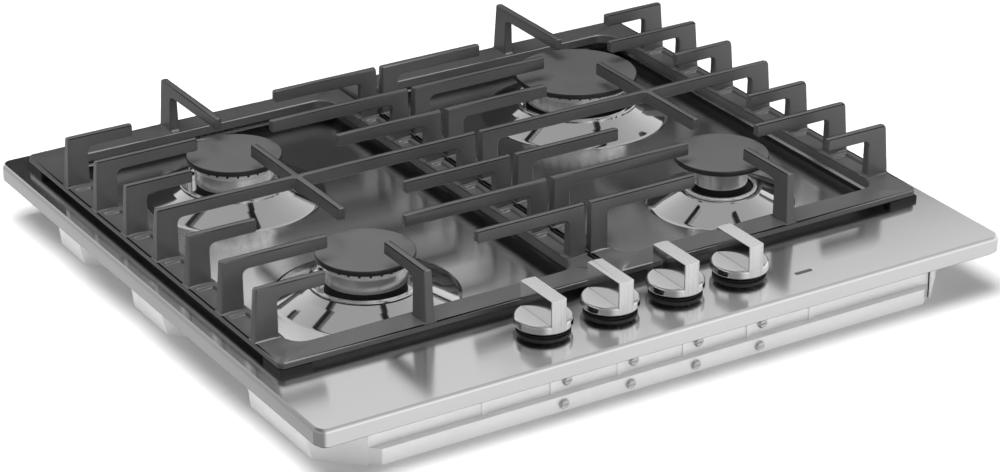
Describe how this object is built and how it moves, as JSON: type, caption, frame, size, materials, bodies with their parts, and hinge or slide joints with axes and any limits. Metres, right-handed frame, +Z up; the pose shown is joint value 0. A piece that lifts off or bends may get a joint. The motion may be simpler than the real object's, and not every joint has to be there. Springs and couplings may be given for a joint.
{
  "type": "gas cooktop",
  "caption": "Flat built-in gas cooktop with a recessed steel plate, lift-off cast pan supports, burners with loose caps, and front knobs.",
  "frame": {"origin": "middle of the burner box's underside, straight below the middle of the top plate", "axes": "+X right along the side with the knobs, +Y from the knobs to the back, +Z up"},
  "size_m": [0.582, 0.52, 0.099],
  "materials": {
    "brushed_stainless": "brushed stainless sheet",
    "galvanised_steel": "bright zinc-coated sheet",
    "black_rubber": "matte black rubber",
    "black_plastic": "matte black moulded plastic",
    "aluminium": "cast and machined aluminium",
    "cap_enamel": "matte black enamel on steel",
    "ceramic": "white glazed ceramic",
    "probe_steel": "bare steel probe",
    "brass": "turned brass",
    "zinc_steel": "zinc-plated steel",
    "lead_sleeve": "silicone sleeve",
    "cast_iron": "matte black enamelled cast iron",
    "knob_metal": "brushed metal"
  },
  "bodies": {
    "hob": {"top_plate": "brushed_stainless", "burner_box": "galvanised_steel", "worktop_seal": "black_rubber", "indicator_window": "black_plastic", "knob_bezels": "black_rubber", "burner_cup_left_back": "aluminium", "burner_cup_left_front": "aluminium", "burner_cup_right_back": "aluminium", "burner_cup_right_front": "aluminium", "igniter_left_back": "ceramic", "igniter_left_front": "ceramic", "igniter_right_back": "ceramic", "igniter_right_front": "ceramic", "thermocouple_left_back": "probe_steel", "thermocouple_left_front": "probe_steel", "thermocouple_right_back": "probe_steel", "thermocouple_right_front": "probe_steel", "gas_injectors": "brass", "gas_manifold": "zinc_steel", "gas_inlet_pipe": "brass", "tap_body_1": "zinc_steel", "tap_body_2": "zinc_steel", "tap_body_3": "zinc_steel", "tap_body_4": "zinc_steel", "gas_pipe_1": "aluminium", "gas_pipe_2": "aluminium", "gas_pipe_3": "aluminium", "gas_pipe_4": "aluminium", "tap_covers": "zinc_steel", "ignition_generator": "black_plastic", "ignition_switches": "black_plastic", "ignition_leads": "lead_sleeve", "thermocouple_leads": "lead_sleeve", "terminal_block": "black_plastic", "box_screws": "zinc_steel", "burner_screws": "zinc_steel"},
    "pan_support_left": {"pan_support_left": "cast_iron", "support_feet_left": "black_rubber"},
    "pan_support_right": {"pan_support_right": "cast_iron", "support_feet_right": "black_rubber"},
    "flame_ring_left_back": {"flame_ring_left_back": "aluminium"},
    "burner_cap_left_back": {"burner_cap_left_back": "cap_enamel"},
    "flame_ring_left_front": {"flame_ring_left_front": "aluminium"},
    "burner_cap_left_front": {"burner_cap_left_front": "cap_enamel"},
    "flame_ring_right_back": {"flame_ring_right_back": "aluminium"},
    "burner_cap_right_back": {"burner_cap_right_back": "cap_enamel"},
    "flame_ring_right_front": {"flame_ring_right_front": "aluminium"},
    "burner_cap_right_front": {"burner_cap_right_front": "cap_enamel"},
    "tap_cone_1": {"tap_cone_1": "brass"},
    "knob_1": {"knob_1": "knob_metal", "tap_spindle_1": "aluminium"},
    "tap_cone_2": {"tap_cone_2": "brass"},
    "knob_2": {"knob_2": "knob_metal", "tap_spindle_2": "aluminium"},
    "tap_cone_3": {"tap_cone_3": "brass"},
    "knob_3": {"knob_3": "knob_metal", "tap_spindle_3": "aluminium"},
    "tap_cone_4": {"tap_cone_4": "brass"},
    "knob_4": {"knob_4": "knob_metal", "tap_spindle_4": "aluminium"}
  },
  "joints": [
    {"name": "lift_pan_support_left", "type": "slide", "parent": "hob", "child": "pan_support_left", "axis": [0, 0, 1], "range_m": [0, 0.08]},
    {"name": "lift_pan_support_right", "type": "slide", "parent": "hob", "child": "pan_support_right", "axis": [0, 0, 1], "range_m": [0, 0.08]},
    {"name": "lift_flame_ring_left_back", "type": "slide", "parent": "hob", "child": "flame_ring_left_back", "axis": [0, 0, 1], "range_m": [0, 0.004]},
    {"name": "lift_burner_cap_left_back", "type": "slide", "parent": "flame_ring_left_back", "child": "burner_cap_left_back", "axis": [0, 0, 1], "range_m": [0, 0.0045]},
    {"name": "lift_flame_ring_left_front", "type": "slide", "parent": "hob", "child": "flame_ring_left_front", "axis": [0, 0, 1], "range_m": [0, 0.004]},
    {"name": "lift_burner_cap_left_front", "type": "slide", "parent": "flame_ring_left_front", "child": "burner_cap_left_front", "axis": [0, 0, 1], "range_m": [0, 0.0045]},
    {"name": "lift_flame_ring_right_back", "type": "slide", "parent": "hob", "child": "flame_ring_right_back", "axis": [0, 0, 1], "range_m": [0, 0.004]},
    {"name": "lift_burner_cap_right_back", "type": "slide", "parent": "flame_ring_right_back", "child": "burner_cap_right_back", "axis": [0, 0, 1], "range_m": [0, 0.0045]},
    {"name": "lift_flame_ring_right_front", "type": "slide", "parent": "hob", "child": "flame_ring_right_front", "axis": [0, 0, 1], "range_m": [0, 0.002]},
    {"name": "lift_burner_cap_right_front", "type": "slide", "parent": "flame_ring_right_front", "child": "burner_cap_right_front", "axis": [0, 0, 1], "range_m": [0, 0.002]},
    {"name": "turn_tap_1", "type": "hinge", "parent": "hob", "child": "tap_cone_1", "pos_m": [-0.0843, -0.2105, 0.026], "axis": [0, 0, 1], "range_deg": [0, 210]},
    {"name": "push_knob_1", "type": "slide", "parent": "tap_cone_1", "child": "knob_1", "axis": [0, 0, -1], "range_m": [0, 0.0025], "stiffness_N_per_m": 800, "springref_m": -0.004},
    {"name": "turn_tap_2", "type": "hinge", "parent": "hob", "child": "tap_cone_2", "pos_m": [-0.0281, -0.2105, 0.026], "axis": [0, 0, 1], "range_deg": [0, 210]},
    {"name": "push_knob_2", "type": "slide", "parent": "tap_cone_2", "child": "knob_2", "axis": [0, 0, -1], "range_m": [0, 0.0025], "stiffness_N_per_m": 800, "springref_m": -0.004},
    {"name": "turn_tap_3", "type": "hinge", "parent": "hob", "child": "tap_cone_3", "pos_m": [0.0281, -0.2105, 0.026], "axis": [0, 0, 1], "range_deg": [0, 210]},
    {"name": "push_knob_3", "type": "slide", "parent": "tap_cone_3", "child": "knob_3", "axis": [0, 0, -1], "range_m": [0, 0.0025], "stiffness_N_per_m": 800, "springref_m": -0.004},
    {"name": "turn_tap_4", "type": "hinge", "parent": "hob", "child": "tap_cone_4", "pos_m": [0.0843, -0.2105, 0.026], "axis": [0, 0, 1], "range_deg": [0, 210]},
    {"name": "push_knob_4", "type": "slide", "parent": "tap_cone_4", "child": "knob_4", "axis": [0, 0, -1], "range_m": [0, 0.0025], "stiffness_N_per_m": 800, "springref_m": -0.004}
  ]
}
